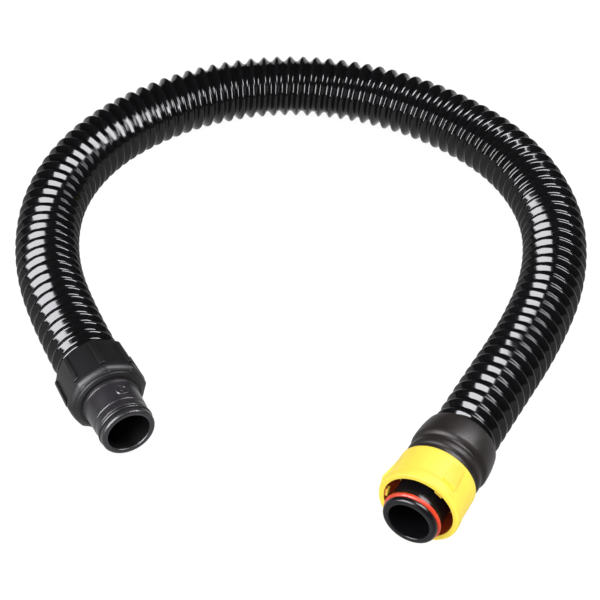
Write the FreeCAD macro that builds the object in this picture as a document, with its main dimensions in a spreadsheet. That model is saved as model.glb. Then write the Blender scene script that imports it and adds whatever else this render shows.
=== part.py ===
import FreeCAD, Part
import math
import os

import Sketcher
from FreeCAD import Placement, Rotation, Vector

# A flexible breathing hose that lies in an open loop on a flat surface, with a push-in
# swivel spigot at its hood end and a captive coupling ring at its blower end.
# Frame: +Z up, +X to the right and +Y to the far side of the loop. The origin lies on the
# surface, at the middle of the box around the two end fittings. All sizes are millimetres.

SIZES = {
    # hose
    "hose_radius": 20.0,
    "hose_bore_radius": 15.8,
    # clearances that the pieces share
    "slip_gap": 0.1,
    "running_gap": 0.08,
    "seal_gap": 0.05,
    "end_gap": 0.3,
    "slip_washer_length": 0.9,
    # hood end: sleeve on the hose
    "hood_hose_depth": 12.0,
    "sleeve_wall": 1.3,
    "sleeve_floor": 2.0,
    # hood end: grip collar
    "collar_lip_length": 1.8,
    "collar_mouth_gap": 0.5,
    "collar_wall": 1.2,
    "collar_flare": 1.4,
    "collar_front_wall": 9.5,
    "collar_face_length": 4.6,
    "collar_face_step": 1.0,
    "collar_edge_round": 0.7,
    "collar_rib_height": 1.1,
    "collar_rib_angle": 9.0,
    "collar_rib_length": 19.0,
    "collar_rib_start": 2.5,
    "collar_rib_count": 8,
    # hood end: swivel spigot and its two seals
    "spigot_bore_radius": 12.8,
    "spigot_bore_length": 12.0,
    "spigot_relief": 1.2,
    "spigot_wall": 3.5,
    "spigot_taper": 0.5,
    "spigot_length": 26.0,
    "spigot_land_length": 4.2,
    "spigot_nose_length": 4.2,
    "spigot_nose_round": 1.4,
    "swivel_flange_length": 5.0,
    "swivel_step": 0.5,
    "swivel_step_length": 2.0,
    "swivel_seal_section": 1.2,
    "nose_seal_section": 1.15,
    "nose_seal_stand": 0.5,
    # blower end: connector, from its barbed tail to its nozzle, and its seal
    "tail_length": 16.0,
    "tail_wall": 1.8,
    "tail_barb_height": 0.6,
    "tail_barb_count": 3,
    "hose_stop_height": 0.3,
    "hose_stop_length": 3.0,
    "connector_neck_drop": 1.7,
    "connector_neck_length": 8.6,
    "nozzle_bore_radius": 12.4,
    "nozzle_bore_length": 14.0,
    "nozzle_bore_cone": 1.5,
    "nozzle_wall": 3.6,
    "nozzle_length": 29.0,
    "nozzle_lip_height": 0.4,
    "nozzle_lip_length": 3.2,
    "nozzle_lip_round": 1.5,
    "journal_height": 1.5,
    "ring_shoulder_height": 2.9,
    "ring_shoulder_length": 2.2,
    "blower_seal_section": 1.4,
    "blower_seal_stand": 1.35,
    # blower end: soft cuff and the clamp under it
    "cuff_hose_depth": 18.0,
    "cuff_rear_wall": 2.1,
    "cuff_wall": 2.0,
    "cuff_band_drop": 1.0,
    "cuff_neck_wall": 2.9,
    "cuff_lip_length": 3.0,
    "cuff_edge_round": 1.5,
    "clamp_width": 8.0,
    "clamp_thickness": 0.8,
    "clamp_ear_height": 0.7,
    "clamp_ear_angle": 26.0,
    # blower end: captive coupling ring and its retainer
    "coupling_length": 25.6,
    "coupling_web_length": 3.8,
    "coupling_recess_gap": 1.0,
    "coupling_recess_length": 2.4,
    "coupling_wall": 2.4,
    "coupling_mouth_gap": 1.7,
    "coupling_band_height": 0.8,
    "coupling_band_length": 7.0,
    "coupling_rim_round": 0.8,
    "coupling_pad_height": 0.6,
    "coupling_pad_angle": 18.0,
    "coupling_pad_length": 17.0,
    "coupling_pad_count": 3,
    "coupling_lug_height": 1.9,
    "coupling_lug_angle": 14.0,
    "coupling_lug_length": 3.0,
    "coupling_lug_inset": 0.6,
    "coupling_turn": 55.0,
    "retainer_length": 1.1,
    "retainer_height": 1.9,
    "retainer_depth": 1.2,
    "retainer_opening": 24.0,
}

# The hose's route over the surface, from its seat in the hood collar to its seat in the
# blower cuff. The second and the last but one point lie on the fittings' axes.
ROUTE = [
    (-100, 47), (-127, 103), (-143, 167), (-139, 226), (-111, 279),
    (-60, 318), (-2, 335), (58, 328), (113, 300), (157, 256),
    (178, 200), (175, 143), (155, 89), (128, 36), (100, -17),
]
ARC_SHARE = 0.45      # share of the shorter run that a bend takes up on each side
SWEEP_TOLERANCE = 0.01


class Size:
    """A length that knows its number and the sheet expression that gives it."""

    def __init__(self, number, text):
        self.number = number
        self.text = text

    @staticmethod
    def of(other):
        if isinstance(other, Size):
            return other
        return Size(float(other), repr(float(other)))

    def __add__(self, other):
        other = Size.of(other)
        return Size(self.number + other.number, f"({self.text} + {other.text})")

    def __sub__(self, other):
        other = Size.of(other)
        return Size(self.number - other.number, f"({self.text} - {other.text})")

    def __mul__(self, other):
        other = Size.of(other)
        return Size(self.number * other.number, f"({self.text} * {other.text})")

    def __truediv__(self, other):
        other = Size.of(other)
        return Size(self.number / other.number, f"({self.text} / {other.text})")

    def __neg__(self):
        return Size(-self.number, f"(0 - {self.text})")

    __radd__ = __add__


class Sizes:
    """The driving dimensions, each read by its name as a Size."""

    def __init__(self, table):
        for name, number in table.items():
            setattr(self, name, Size(float(number), f"Sizes.{name}"))


doc = FreeCAD.newDocument("BreathingHose")
S = Sizes(SIZES)


def write_sheet():
    """Puts every driving dimension into the document's sheet under its own name."""
    sheet = doc.addObject("Spreadsheet::Sheet", "Sizes")
    for row, (name, number) in enumerate(SIZES.items(), start=1):
        sheet.set(f"A{row}", name)
        sheet.set(f"B{row}", str(number))
        sheet.setAlias(f"B{row}", name)
    doc.recompute()


# ---------------------------------------------------------------- shared feature helpers


def origin_part(body, role):
    """One of a body's own origin planes or axes."""
    for feature in body.Origin.OriginFeatures:
        if feature.Role == role:
            return feature
    raise ValueError(f"{body.Label} has no {role}")


def new_body(label):
    body = doc.addObject("PartDesign::Body", label)
    body.Label = label
    return body


def outline_sketch(body, name, corners):
    """A closed outline of (along the axis, from the axis) Sizes, every corner dimensioned."""
    sketch = body.newObject("Sketcher::SketchObject", name)
    sketch.AttachmentSupport = (origin_part(body, "XY_Plane"), [""])
    sketch.MapMode = "FlatFace"
    points = [Vector(x.number, y.number, 0) for x, y in corners]
    count = len(points)
    for i in range(count):
        sketch.addGeometry(Part.LineSegment(points[i], points[(i + 1) % count]), False)
    for i in range(count):
        sketch.addConstraint(Sketcher.Constraint("Coincident", i, 2, (i + 1) % count, 1))
    for i, (x, y) in enumerate(corners):
        for kind, size in (("DistanceX", x), ("DistanceY", y)):
            index = sketch.addConstraint(Sketcher.Constraint(kind, -1, 1, i, 1, size.number))
            sketch.setExpression(f"Constraints[{index}]", size.text)
    return sketch


def circle_sketch(body, name, along, radius, section):
    """A circle of radius section whose centre is (along the axis, from the axis)."""
    sketch = body.newObject("Sketcher::SketchObject", name)
    sketch.AttachmentSupport = (origin_part(body, "XY_Plane"), [""])
    sketch.MapMode = "FlatFace"
    centre = Vector(along.number, radius.number, 0)
    sketch.addGeometry(Part.Circle(centre, Vector(0, 0, 1), section.number), False)
    for kind, size in (("DistanceX", along), ("DistanceY", radius)):
        index = sketch.addConstraint(Sketcher.Constraint(kind, -1, 1, 0, 3, size.number))
        sketch.setExpression(f"Constraints[{index}]", size.text)
    index = sketch.addConstraint(Sketcher.Constraint("Radius", 0, section.number))
    sketch.setExpression(f"Constraints[{index}]", section.text)
    return sketch


def turn(body, sketch, name, angle=None):
    """Turns a sketch about the body's X axis: all the way round, or by an angle that
    lies evenly on both sides of the sketch."""
    feature = body.newObject("PartDesign::Revolution", name)
    feature.Profile = sketch
    feature.ReferenceAxis = (origin_part(body, "X_Axis"), [""])
    if angle is None:
        feature.Angle = 360.0
    else:
        feature.Midplane = True
        feature.setExpression("Angle", angle.text)
    return feature


def spread(body, feature, count):
    """Repeats a feature evenly around the body's X axis."""
    pattern = body.newObject("PartDesign::PolarPattern", f"{feature.Name}Pattern")
    pattern.Originals = [feature]
    pattern.Axis = (origin_part(body, "X_Axis"), [""])
    pattern.Angle = 360.0
    pattern.setExpression("Occurrences", count.text)
    body.Tip = pattern
    return pattern


def box_corners(start, end, inner, outer):
    """The four corners of a ring's section between two stations and two radii."""
    return [(start, inner), (end, inner), (end, outer), (start, outer)]


def round_edges(body, rounds):
    """Rounds circular edges, each given as (station, radius, rounding radius) Sizes."""
    for station, radius, rounding in rounds:
        doc.recompute()
        base = body.Tip
        names = []
        for i, edge in enumerate(base.Shape.Edges, start=1):
            curve = edge.Curve
            if not isinstance(curve, Part.Circle):
                continue
            same_place = abs(curve.Center.x - station.number) < 1e-4
            if same_place and abs(curve.Radius - radius.number) < 1e-4:
                names.append(f"Edge{i}")
        if not names:
            raise ValueError(f"{body.Label} has no edge to round at {station.number:.2f}")
        fillet = body.newObject("PartDesign::Fillet", f"{body.Label}_round")
        fillet.Base = (base, names)
        fillet.setExpression("Radius", rounding.text)
        body.Tip = fillet


def turned_ring(label, start, end, inner, outer, angle=None):
    """A plain ring, such as a washer, or an open ring where an angle is given."""
    body = new_body(label)
    sketch = outline_sketch(body, f"{label}_outline", box_corners(start, end, inner, outer))
    turn(body, sketch, f"{label}_turn", angle)
    return body


def o_ring(label, along, radius, section):
    """A round-section sealing ring."""
    body = new_body(label)
    turn(body, circle_sketch(body, f"{label}_section", along, radius, section), f"{label}_turn")
    return body


def heading(end, inside):
    """The angle about +Z, in degrees, of a fitting's axis out of the hose."""
    return math.degrees(math.atan2(end[1] - inside[1], end[0] - inside[0]))


def place(bodies, seat, angle, height, twist=0.0):
    """Puts a fitting's pieces, modelled along +X from the hose's end, at their seat."""
    turned = Rotation(Vector(0, 0, 1), angle) * Rotation(Vector(1, 0, 0), twist)
    for body in bodies:
        body.Placement = Placement(Vector(seat[0], seat[1], height.number), turned)
        body.setExpression("Placement.Base.z", height.text)


# ------------------------------------------------------------------------------- hose


def hose_heights():
    """The height of each route point: the fittings' axes at the ends, else on the surface."""
    lying = S.hose_radius.number
    hood = COLLAR_RIB_RADIUS.number
    blower = COUPLING_PAD_RADIUS.number
    return [hood] * 2 + [lying] * (len(ROUTE) - 4) + [blower] * 2


def tangent_path(points):
    """Straight runs joined by tangent arcs, and the arcs' radii."""
    edges = []
    radii = []
    last = points[0]
    for before, corner, after in zip(points, points[1:], points[2:]):
        back = (before - corner).normalize()
        ahead = (after - corner).normalize()
        half_turn = (math.pi - back.getAngle(ahead)) / 2
        shorter = min((before - corner).Length, (after - corner).Length)
        radius = ARC_SHARE * shorter / math.tan(half_turn)
        start = corner + back * (ARC_SHARE * shorter)
        end = corner + ahead * (ARC_SHARE * shorter)
        inward = (back + ahead).normalize()
        middle = corner + inward * (radius / math.cos(half_turn) - radius)
        edges.append(Part.LineSegment(last, start).toShape())
        edges.append(Part.Arc(start, middle, end).toShape())
        radii.append(radius)
        last = end
    edges.append(Part.LineSegment(last, points[-1]).toShape())
    return Part.Wire(edges), radii


def make_hose():
    """The hose wall: an outer tube along the route with the bore taken out of it."""
    points = [Vector(x, y, z) for (x, y), z in zip(ROUTE, hose_heights())]
    wire, radii = tangent_path(points)
    print("hose bend radii, mm:", " ".join(f"{radius:.0f}" for radius in radii))
    print(f"hose centreline length, mm: {wire.Length:.1f}")
    spine = doc.addObject("Part::Feature", "hose_route")
    spine.Shape = wire
    outward = points[0] - points[1]
    tubes = []
    for name, radius in (("outside", S.hose_radius), ("bore", S.hose_bore_radius)):
        section = doc.addObject("Part::Circle", f"hose_{name}_section")
        section.setExpression("Radius", radius.text)
        section.Placement = Placement(points[0], Rotation(Vector(0, 0, 1), outward))
        sweep = doc.addObject("Part::Sweep", f"hose_{name}")
        sweep.Sections = [section]
        sweep.Spine = (spine, [f"Edge{i}" for i in range(1, len(wire.Edges) + 1)])
        sweep.Solid = True
        tubes.append(sweep)
    hose = doc.addObject("Part::Cut", "hose")
    hose.Label = "hose"
    hose.Base, hose.Tool = tubes
    doc.recompute()
    ring_area = math.pi * (S.hose_radius.number ** 2 - S.hose_bore_radius.number ** 2)
    share = hose.Shape.Volume / (ring_area * wire.Length)
    print(f"hose volume over section times length: {share:.4f}")
    if abs(share - 1) > SWEEP_TOLERANCE:
        raise ValueError("the hose's volume doesn't match its section and length")
    return hose


# --------------------------------------------------------------------------- hood end

# Stations along the hood fitting's axis, from the hose's end face outwards, and radii.
HOOD_REAR = -S.hood_hose_depth
SLEEVE_REAR = HOOD_REAR + S.collar_lip_length + S.slip_gap
SLEEVE_FRONT = S.sleeve_floor
SLEEVE_BORE = S.hose_radius + S.slip_gap
SLEEVE_RADIUS = SLEEVE_BORE + S.sleeve_wall
COLLAR_INNER = SLEEVE_RADIUS + S.slip_gap
COLLAR_REAR_RADIUS = COLLAR_INNER + S.collar_wall
COLLAR_FRONT_RADIUS = COLLAR_REAR_RADIUS + S.collar_flare
COLLAR_RIB_RADIUS = COLLAR_FRONT_RADIUS + S.collar_rib_height
SPIGOT_INNER = S.spigot_bore_radius + S.spigot_relief
SPIGOT_TIP_RADIUS = S.spigot_bore_radius + S.spigot_wall
SPIGOT_ROOT_RADIUS = SPIGOT_TIP_RADIUS + S.spigot_taper
SWIVEL_NECK_RADIUS = SPIGOT_ROOT_RADIUS + S.swivel_step
SWIVEL_RADIUS = COLLAR_INNER - S.end_gap
SWIVEL_REAR = SLEEVE_FRONT + S.end_gap
SWIVEL_FRONT = SWIVEL_REAR + S.swivel_flange_length
WALL_REAR = SWIVEL_FRONT + S.slip_gap * 2 + S.slip_washer_length
COLLAR_FRONT = WALL_REAR + S.collar_front_wall
STEP_FRONT = COLLAR_FRONT + S.swivel_step_length
SPIGOT_FRONT = STEP_FRONT + S.spigot_length
SWIVEL_SEAL_RADIUS = COLLAR_INNER - S.slip_gap - S.swivel_seal_section
SWIVEL_SEAL_PLACE = SWIVEL_REAR + S.swivel_flange_length / 2
NOSE_SEAL_RADIUS = SPIGOT_TIP_RADIUS + S.nose_seal_stand - S.nose_seal_section
NOSE_SEAL_PLACE = SPIGOT_FRONT - S.spigot_nose_length - S.nose_seal_section - S.seal_gap


def groove_corners(place_of_seal, seal_radius, section, surface):
    """The four corners of a seal's groove, in the order of a surface read outwards."""
    rear = place_of_seal - section - S.seal_gap
    front = place_of_seal + section + S.seal_gap
    floor = seal_radius - section - S.seal_gap
    return [(rear, surface), (rear, floor), (front, floor), (front, surface)]


def make_hood_sleeve():
    """The sleeve that is screwed over the hose's end; its floor meets the end face."""
    body = new_body("hose_sleeve")
    outline = [
        (SLEEVE_REAR, SLEEVE_BORE),
        (Size.of(0), SLEEVE_BORE),
        (Size.of(0), S.hose_bore_radius),
        (SLEEVE_FRONT, S.hose_bore_radius),
        (SLEEVE_FRONT, SLEEVE_RADIUS),
        (SLEEVE_REAR, SLEEVE_RADIUS),
    ]
    turn(body, outline_sketch(body, "hose_sleeve_outline", outline), "hose_sleeve_turn")
    return body


def make_hood_collar():
    """The ribbed grip collar that holds the swivel spigot on the sleeve."""
    body = new_body("hood_collar")
    lip = S.hose_radius + S.collar_mouth_gap
    lip_end = HOOD_REAR + S.collar_lip_length
    face = COLLAR_FRONT - S.collar_face_length
    bore = SWIVEL_NECK_RADIUS + S.running_gap
    outline = [
        (HOOD_REAR, lip),
        (lip_end, lip),
        (lip_end, COLLAR_INNER),
        (WALL_REAR, COLLAR_INNER),
        (WALL_REAR, bore),
        (COLLAR_FRONT, bore),
        (COLLAR_FRONT, bore + S.collar_face_step),
        (face, COLLAR_FRONT_RADIUS),
        (HOOD_REAR, COLLAR_REAR_RADIUS),
    ]
    turn(body, outline_sketch(body, "hood_collar_outline", outline), "hood_collar_turn")
    start = HOOD_REAR + S.collar_rib_start
    root = COLLAR_REAR_RADIUS - S.collar_wall / 2
    corners = box_corners(start, start + S.collar_rib_length, root, COLLAR_RIB_RADIUS)
    rib = turn(
        body, outline_sketch(body, "hood_collar_rib", corners), "hood_collar_ribs",
        S.collar_rib_angle,
    )
    spread(body, rib, S.collar_rib_count)
    round_edges(body, [(face, COLLAR_FRONT_RADIUS, S.collar_edge_round)])
    return body


def make_hood_spigot():
    """The swivel spigot: a flange with a seal groove, a neck and a push-in nose."""
    body = new_body("hood_spigot")
    step = SPIGOT_FRONT - S.spigot_bore_length
    outline = [(SWIVEL_REAR, SPIGOT_INNER), (SWIVEL_REAR, SWIVEL_RADIUS)]
    outline += groove_corners(
        SWIVEL_SEAL_PLACE, SWIVEL_SEAL_RADIUS, S.swivel_seal_section, SWIVEL_RADIUS
    )
    outline += [
        (SWIVEL_FRONT, SWIVEL_RADIUS),
        (SWIVEL_FRONT, SWIVEL_NECK_RADIUS),
        (STEP_FRONT, SWIVEL_NECK_RADIUS),
        (STEP_FRONT, SPIGOT_ROOT_RADIUS),
        (NOSE_SEAL_PLACE - S.spigot_land_length, SPIGOT_TIP_RADIUS),
    ]
    outline += groove_corners(
        NOSE_SEAL_PLACE, NOSE_SEAL_RADIUS, S.nose_seal_section, SPIGOT_TIP_RADIUS
    )
    outline += [
        (SPIGOT_FRONT, SPIGOT_TIP_RADIUS),
        (SPIGOT_FRONT, S.spigot_bore_radius),
        (step, S.spigot_bore_radius),
        (step - S.spigot_relief, SPIGOT_INNER),
    ]
    turn(body, outline_sketch(body, "hood_spigot_outline", outline), "hood_spigot_turn")
    round_edges(body, [(SPIGOT_FRONT, SPIGOT_TIP_RADIUS, S.spigot_nose_round)])
    return body


def make_hood_end():
    """All pieces of the hood end, in their places."""
    washer_rear = SWIVEL_FRONT + S.slip_gap
    bodies = [
        make_hood_sleeve(),
        make_hood_collar(),
        make_hood_spigot(),
        turned_ring(
            "hood_slip_washer", washer_rear, washer_rear + S.slip_washer_length,
            SWIVEL_NECK_RADIUS + S.end_gap, COLLAR_INNER - S.slip_gap,
        ),
        o_ring("swivel_seal", SWIVEL_SEAL_PLACE, SWIVEL_SEAL_RADIUS, S.swivel_seal_section),
        o_ring("nose_seal", NOSE_SEAL_PLACE, NOSE_SEAL_RADIUS, S.nose_seal_section),
    ]
    place(bodies, ROUTE[0], heading(ROUTE[0], ROUTE[1]), COLLAR_RIB_RADIUS)
    return bodies


# ------------------------------------------------------------------------- blower end

# Stations along the blower fitting's axis, from the hose's end face outwards, and radii.
CUFF_REAR = -S.cuff_hose_depth
TAIL_REAR = -S.tail_length
NECK_REAR = S.hose_stop_length
SHOULDER_REAR = NECK_REAR + S.connector_neck_length
SHOULDER_FRONT = SHOULDER_REAR + S.ring_shoulder_length
WEB_REAR = SHOULDER_FRONT + S.slip_gap * 2 + S.slip_washer_length
WEB_FRONT = WEB_REAR + S.coupling_web_length
RETAINER_REAR = WEB_FRONT + S.slip_gap
RETAINER_FRONT = RETAINER_REAR + S.retainer_length
JOURNAL_FRONT = RETAINER_FRONT + S.retainer_length
NOZZLE_FRONT = JOURNAL_FRONT + S.nozzle_length
TAIL_CREST = S.hose_bore_radius - S.slip_gap
TAIL_VALLEY = TAIL_CREST - S.tail_barb_height
TAIL_BORE = TAIL_VALLEY - S.tail_wall
HOSE_STOP_RADIUS = S.hose_radius + S.hose_stop_height
CONNECTOR_NECK_RADIUS = HOSE_STOP_RADIUS - S.connector_neck_drop
NOZZLE_RADIUS = S.nozzle_bore_radius + S.nozzle_wall
NOZZLE_LIP_RADIUS = NOZZLE_RADIUS + S.nozzle_lip_height
JOURNAL_RADIUS = NOZZLE_RADIUS + S.journal_height
SHOULDER_RADIUS = JOURNAL_RADIUS + S.ring_shoulder_height
RETAINER_RADIUS = JOURNAL_RADIUS + S.retainer_height
RETAINER_FLOOR = JOURNAL_RADIUS - S.retainer_depth
CLAMP_BORE = S.hose_radius + S.slip_gap
CLAMP_RADIUS = CLAMP_BORE + S.clamp_thickness
CUFF_POCKET_RADIUS = CLAMP_RADIUS + S.clamp_ear_height + S.end_gap
CUFF_REAR_RADIUS = CLAMP_BORE + S.cuff_rear_wall
CUFF_CROWN_RADIUS = CUFF_POCKET_RADIUS + S.cuff_wall
CUFF_BAND_RADIUS = CUFF_CROWN_RADIUS - S.cuff_band_drop
CUFF_NECK_BORE = CONNECTOR_NECK_RADIUS + S.slip_gap
BLOWER_SEAL_RADIUS = NOZZLE_RADIUS + S.blower_seal_stand - S.blower_seal_section
BLOWER_SEAL_PLACE = NOZZLE_FRONT - S.nozzle_lip_length - S.blower_seal_section - S.seal_gap
COUPLING_REAR = WEB_REAR - S.coupling_recess_length
COUPLING_FRONT = COUPLING_REAR + S.coupling_length
COUPLING_RECESS_RADIUS = SHOULDER_RADIUS + S.coupling_recess_gap
COUPLING_MOUTH_RADIUS = RETAINER_RADIUS + S.coupling_mouth_gap
COUPLING_REAR_RADIUS = COUPLING_RECESS_RADIUS + S.coupling_wall
COUPLING_BAND_RADIUS = COUPLING_REAR_RADIUS + S.coupling_band_height
COUPLING_PAD_RADIUS = COUPLING_BAND_RADIUS + S.coupling_pad_height


def make_blower_connector():
    """The connector: a barbed tail in the hose, two flanges, a journal and the nozzle."""
    body = new_body("blower_connector")
    step = NOZZLE_FRONT - S.nozzle_bore_length
    barb = S.tail_length / (S.tail_barb_count + 1)
    outline = [(TAIL_REAR, TAIL_BORE), (TAIL_REAR, TAIL_VALLEY)]
    for i in range(1, int(S.tail_barb_count.number) + 1):
        outline.append((TAIL_REAR + barb * i, TAIL_CREST))
        outline.append((TAIL_REAR + barb * i, TAIL_VALLEY))
    outline += [
        (Size.of(0), TAIL_VALLEY),
        (Size.of(0), HOSE_STOP_RADIUS),
        (NECK_REAR, HOSE_STOP_RADIUS),
        (NECK_REAR, CONNECTOR_NECK_RADIUS),
        (SHOULDER_REAR, CONNECTOR_NECK_RADIUS),
        (SHOULDER_REAR, SHOULDER_RADIUS),
        (SHOULDER_FRONT, SHOULDER_RADIUS),
        (SHOULDER_FRONT, JOURNAL_RADIUS),
        (RETAINER_REAR - S.seal_gap, JOURNAL_RADIUS),
        (RETAINER_REAR - S.seal_gap, RETAINER_FLOOR),
        (RETAINER_FRONT + S.seal_gap, RETAINER_FLOOR),
        (RETAINER_FRONT + S.seal_gap, JOURNAL_RADIUS),
        (JOURNAL_FRONT, JOURNAL_RADIUS),
        (JOURNAL_FRONT + S.journal_height, NOZZLE_RADIUS),
    ]
    outline += groove_corners(
        BLOWER_SEAL_PLACE, BLOWER_SEAL_RADIUS, S.blower_seal_section, NOZZLE_RADIUS
    )
    outline[-1] = (outline[-1][0], NOZZLE_LIP_RADIUS)
    outline += [
        (NOZZLE_FRONT, NOZZLE_LIP_RADIUS),
        (NOZZLE_FRONT, S.nozzle_bore_radius),
        (step, S.nozzle_bore_radius),
        (step - S.nozzle_bore_cone, TAIL_BORE),
    ]
    sketch = outline_sketch(body, "blower_connector_outline", outline)
    turn(body, sketch, "blower_connector_turn")
    round_edges(body, [(NOZZLE_FRONT, NOZZLE_LIP_RADIUS, S.nozzle_lip_round)])
    return body


def make_blower_cuff():
    """The soft cuff over the hose's end, the clamp and the connector's neck."""
    body = new_body("blower_cuff")
    lip_end = CUFF_REAR + S.cuff_lip_length
    front = SHOULDER_REAR - S.slip_gap * 2
    pocket_end = NECK_REAR + S.slip_gap * 2
    outline = [
        (CUFF_REAR, CLAMP_BORE),
        (lip_end, CLAMP_BORE),
        (lip_end, CUFF_POCKET_RADIUS),
        (-S.slip_gap * 2, CUFF_POCKET_RADIUS),
        (-S.slip_gap * 2, HOSE_STOP_RADIUS + S.slip_gap),
        (pocket_end, HOSE_STOP_RADIUS + S.slip_gap),
        (pocket_end, CUFF_NECK_BORE),
        (front, CUFF_NECK_BORE),
        (front, CUFF_NECK_BORE + S.cuff_neck_wall),
        (front - S.connector_neck_length / 4, CUFF_NECK_BORE + S.cuff_neck_wall),
        (front - S.connector_neck_length / 2, CUFF_BAND_RADIUS),
        (pocket_end, CUFF_BAND_RADIUS),
        (Size.of(0), CUFF_CROWN_RADIUS),
        (CUFF_REAR / 2, CUFF_CROWN_RADIUS),
        (CUFF_REAR, CUFF_REAR_RADIUS),
    ]
    turn(body, outline_sketch(body, "blower_cuff_outline", outline), "blower_cuff_turn")
    round_edges(body, [(CUFF_REAR, CUFF_REAR_RADIUS, S.cuff_edge_round)])
    return body


def make_hose_clamp():
    """The band that squeezes the hose on the barbed tail, with its crimped ear."""
    body = new_body("hose_clamp")
    start = -S.tail_length / 2 - S.clamp_width / 2
    end = start + S.clamp_width
    corners = box_corners(start, end, CLAMP_BORE, CLAMP_RADIUS)
    band = outline_sketch(body, "hose_clamp_band", corners)
    turn(body, band, "hose_clamp_turn")
    ear_root = CLAMP_RADIUS - S.clamp_thickness / 2
    corners = box_corners(start, end, ear_root, CLAMP_RADIUS + S.clamp_ear_height)
    ear = outline_sketch(body, "hose_clamp_ear", corners)
    turn(body, ear, "hose_clamp_ears", S.clamp_ear_angle)
    return body


def make_coupling_ring():
    """The captive ring: a web that turns on the journal, grip ramps and bayonet lugs."""
    body = new_body("coupling_ring")
    band_rear = COUPLING_FRONT - S.coupling_band_length
    bore = JOURNAL_RADIUS + S.running_gap
    outline = [
        (COUPLING_REAR, COUPLING_RECESS_RADIUS),
        (WEB_REAR, COUPLING_RECESS_RADIUS),
        (WEB_REAR, bore),
        (WEB_FRONT, bore),
        (WEB_FRONT, COUPLING_MOUTH_RADIUS),
        (COUPLING_FRONT, COUPLING_MOUTH_RADIUS),
        (COUPLING_FRONT, COUPLING_BAND_RADIUS),
        (band_rear, COUPLING_BAND_RADIUS),
        (band_rear, COUPLING_REAR_RADIUS),
        (COUPLING_REAR, COUPLING_REAR_RADIUS),
    ]
    turn(body, outline_sketch(body, "coupling_ring_outline", outline), "coupling_ring_turn")
    wall_middle = (COUPLING_MOUTH_RADIUS + COUPLING_REAR_RADIUS) / 2
    pad_rear = band_rear - S.coupling_pad_length
    pad_front = band_rear + S.coupling_rim_round
    pad_corners = [
        (pad_rear, wall_middle),
        (pad_front, wall_middle),
        (pad_front, COUPLING_PAD_RADIUS),
    ]
    pad = turn(
        body, outline_sketch(body, "coupling_pad", pad_corners), "coupling_pads",
        S.coupling_pad_angle,
    )
    spread(body, pad, S.coupling_pad_count)
    lug_front = COUPLING_FRONT - S.coupling_lug_inset
    lug_rear = lug_front - S.coupling_lug_length
    lug_radius = COUPLING_MOUTH_RADIUS - S.coupling_lug_height
    lug_corners = box_corners(lug_rear, lug_front, lug_radius, wall_middle)
    lug = turn(
        body, outline_sketch(body, "coupling_lug", lug_corners), "coupling_lugs",
        S.coupling_lug_angle,
    )
    spread(body, lug, S.coupling_pad_count)
    rounds = [
        (COUPLING_FRONT, COUPLING_BAND_RADIUS, S.coupling_rim_round),
        (COUPLING_REAR, COUPLING_REAR_RADIUS, S.coupling_rim_round),
    ]
    round_edges(body, rounds)
    return body


def make_blower_end():
    """All pieces of the blower end, in their places."""
    washer_rear = SHOULDER_FRONT + S.slip_gap
    fixed = [
        make_blower_connector(),
        make_blower_cuff(),
        make_hose_clamp(),
        o_ring("blower_seal", BLOWER_SEAL_PLACE, BLOWER_SEAL_RADIUS, S.blower_seal_section),
        turned_ring(
            "coupling_slip_washer", washer_rear, washer_rear + S.slip_washer_length,
            JOURNAL_RADIUS + S.slip_gap, COUPLING_RECESS_RADIUS - S.end_gap,
        ),
        turned_ring(
            "coupling_retainer", RETAINER_REAR, RETAINER_FRONT,
            RETAINER_FLOOR + S.seal_gap, RETAINER_RADIUS,
            Size.of(360) - S.retainer_opening,
        ),
    ]
    ring = make_coupling_ring()
    angle = heading(ROUTE[-1], ROUTE[-2])
    place(fixed, ROUTE[-1], angle, COUPLING_PAD_RADIUS)
    place([ring], ROUTE[-1], angle, COUPLING_PAD_RADIUS, S.coupling_turn.number)
    return fixed + [ring]


# ------------------------------------------------------------------- checks and files


def check(pieces):
    """Stops if any object failed or any piece isn't one whole solid."""
    for item in doc.Objects:
        if "Invalid" in item.State or "Error" in item.State:
            raise ValueError(f"{item.Label} failed: {item.State}")
    for piece in pieces:
        shape = piece.Shape
        if shape.isNull() or not shape.isValid() or len(shape.Solids) != 1:
            raise ValueError(f"{piece.Label} isn't one valid solid")


def write_files(pieces):
    os.makedirs("parts", exist_ok=True)
    for piece in pieces:
        piece.Shape.exportStep(f"parts/{piece.Label}.step")


write_sheet()
PIECES = [make_hose()] + make_hood_end() + make_blower_end()
doc.recompute()
check(PIECES)
write_files(PIECES)
for piece in PIECES:
    print(f"{piece.Label}: {piece.Shape.Volume:.0f} mm3")
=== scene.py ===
"""Looks for a breathing hose: a corrugated hose with a swivel spigot and a yellow coupling.

Each class below is a sub-assembly, a kind of finish or a part of the studio. The sizes of
pieces are in millimetres, and become metres when a mesh is put in its place. The studio's
sizes are in metres.
"""

from __future__ import annotations

import bisect
import logging
import math
from dataclasses import dataclass
from enum import Enum
from typing import Callable, Sequence

import bmesh
import bpy
from mathutils import Matrix, Vector

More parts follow.
